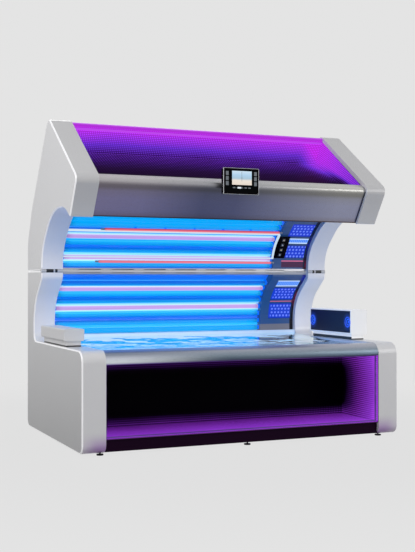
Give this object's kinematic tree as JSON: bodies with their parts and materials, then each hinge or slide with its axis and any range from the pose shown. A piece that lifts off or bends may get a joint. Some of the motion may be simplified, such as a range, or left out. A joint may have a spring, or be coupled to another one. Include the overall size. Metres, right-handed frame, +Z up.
{
  "type": "tanning bed",
  "caption": "Lie-down tanning bed: lamp bench between moulded end panels, rear lamp wall and a tilting lamp canopy with a lit roof recess.",
  "frame": {"origin": "on the floor below the middle of the bed, canopy raised", "axes": "+X along the bed to the right end as seen from the open front, +Y from the front to the back, +Z up"},
  "size_m": [2.3, 1.42, 2.1942],
  "materials": {
    "shell": "moulded light grey shell, glossy",
    "plate": "light grey powder coat, satin",
    "frame": "dark powder coat, satin",
    "silver": "silver, satin",
    "black_gloss": "black, glossy",
    "violet_panel": "dark panel with a fine square grid lit violet",
    "led": "diffuser lit magenta",
    "clear": "clear acrylic",
    "lamp_blue": "lit lamp tube, blue",
    "lamp_lilac": "lit lamp tube, lilac",
    "lamp_red": "lit lamp tube, red",
    "holder": "white lamp holder",
    "reflector": "bright reflector sheet",
    "tanner": "dark blue grey, satin",
    "window": "tinted window, lit blue",
    "rail": "light metal, satin",
    "cover": "light grey moulded back, satin",
    "black": "black, matt",
    "black_metal": "black, satin",
    "unit": "grey metal case",
    "rod": "ground steel",
    "speaker": "dark navy panel with lit speaker rings",
    "screen": "display glass",
    "key": "dark key"
  },
  "bodies": {
    "base": {"base_frame": "frame", "levelling_feet": "black", "base_side_plates": "plate", "left_base_end_shell": "shell", "right_base_end_shell": "shell", "toe_kick_plinth": "black_gloss", "front_recess_liner": "violet_panel", "front_recess_back": "black_gloss", "front_led_strips": "led", "bench_front_rail": "silver", "bench_acrylic": "clear", "base_reflectors": "reflector", "bench_lamps": "lamp_blue", "base_lamp_holders": "holder", "rear_wall_uv_lamps": "lamp_blue", "rear_wall_lilac_lamps": "lamp_lilac", "rear_wall_acrylic": "clear", "rear_wall_rails": "rail", "shoulder_tanner_housing": "tanner", "shoulder_tanner_windows": "window", "base_rear_cover": "cover", "ballast_units": "unit", "base_fan_housings": "black", "left_ledge_box": "shell", "right_speaker_box": "shell", "speaker_panel": "speaker", "base_hinge_brackets": "black_metal", "lift_actuators": "black_metal", "cable_gland": "black"},
    "canopy": {"canopy_frame": "frame", "canopy_side_plates": "plate", "left_canopy_end_shell": "shell", "right_canopy_end_shell": "shell", "canopy_recess_liner": "violet_panel", "canopy_recess_back": "black_gloss", "canopy_led_strip": "led", "canopy_fascia": "silver", "canopy_back_cover": "cover", "canopy_reflector": "reflector", "canopy_uv_lamps": "lamp_blue", "canopy_lilac_lamps": "lamp_lilac", "canopy_red_lamps": "lamp_red", "canopy_lamp_holders": "holder", "canopy_acrylic": "clear", "canopy_centre_pane": "clear", "canopy_seam_rail": "rail", "face_tanner_housing": "tanner", "face_tanner_windows": "window", "canopy_hinge_arms": "black_metal", "display_housing": "black_gloss", "display_screen": "screen", "keypad_panel": "black_gloss"},
    "lift_rods": {"lift_rods": "rod"},
    "left_fan": {"left_fan_rotor": "black"},
    "right_fan": {"right_fan_rotor": "black"},
    "start_button": {"start_button": "key"},
    "fan_button": {"fan_button": "key"},
    "face_button": {"face_button": "key"},
    "sound_button": {"sound_button": "key"}
  },
  "joints": [
    {"name": "canopy_hinge", "type": "hinge", "parent": "base", "child": "canopy", "pos_m": [0, 0.308, 1.157], "axis": [1, 0, 0], "range_deg": [0, 50]},
    {"name": "lift_slide", "type": "slide", "parent": "base", "child": "lift_rods", "axis": [0, 0, 1], "range_m": [0, 0.258]},
    {"name": "left_fan_spin", "type": "hinge", "parent": "base", "child": "left_fan", "pos_m": [-0.6, 0.66, 0.3], "axis": [0, 1, 0], "continuous": true},
    {"name": "right_fan_spin", "type": "hinge", "parent": "base", "child": "right_fan", "pos_m": [0.6, 0.66, 0.3], "axis": [0, 1, 0], "continuous": true},
    {"name": "start_press", "type": "slide", "parent": "canopy", "child": "start_button", "axis": [0, 0.8386, 0.5447], "range_m": [0, 0.0015], "stiffness_N_per_m": 1500},
    {"name": "fan_press", "type": "slide", "parent": "canopy", "child": "fan_button", "axis": [0, 0.8386, 0.5447], "range_m": [0, 0.0015], "stiffness_N_per_m": 1500},
    {"name": "face_press", "type": "slide", "parent": "canopy", "child": "face_button", "axis": [0, 0.8386, 0.5447], "range_m": [0, 0.0015], "stiffness_N_per_m": 1500},
    {"name": "sound_press", "type": "slide", "parent": "canopy", "child": "sound_button", "axis": [0, 0.8386, 0.5447], "range_m": [0, 0.0015], "stiffness_N_per_m": 1500}
  ],
  "couplings": [
    {"joint": "lift_slide", "follows": "canopy_hinge", "m_per_rad": 0.29565}
  ]
}
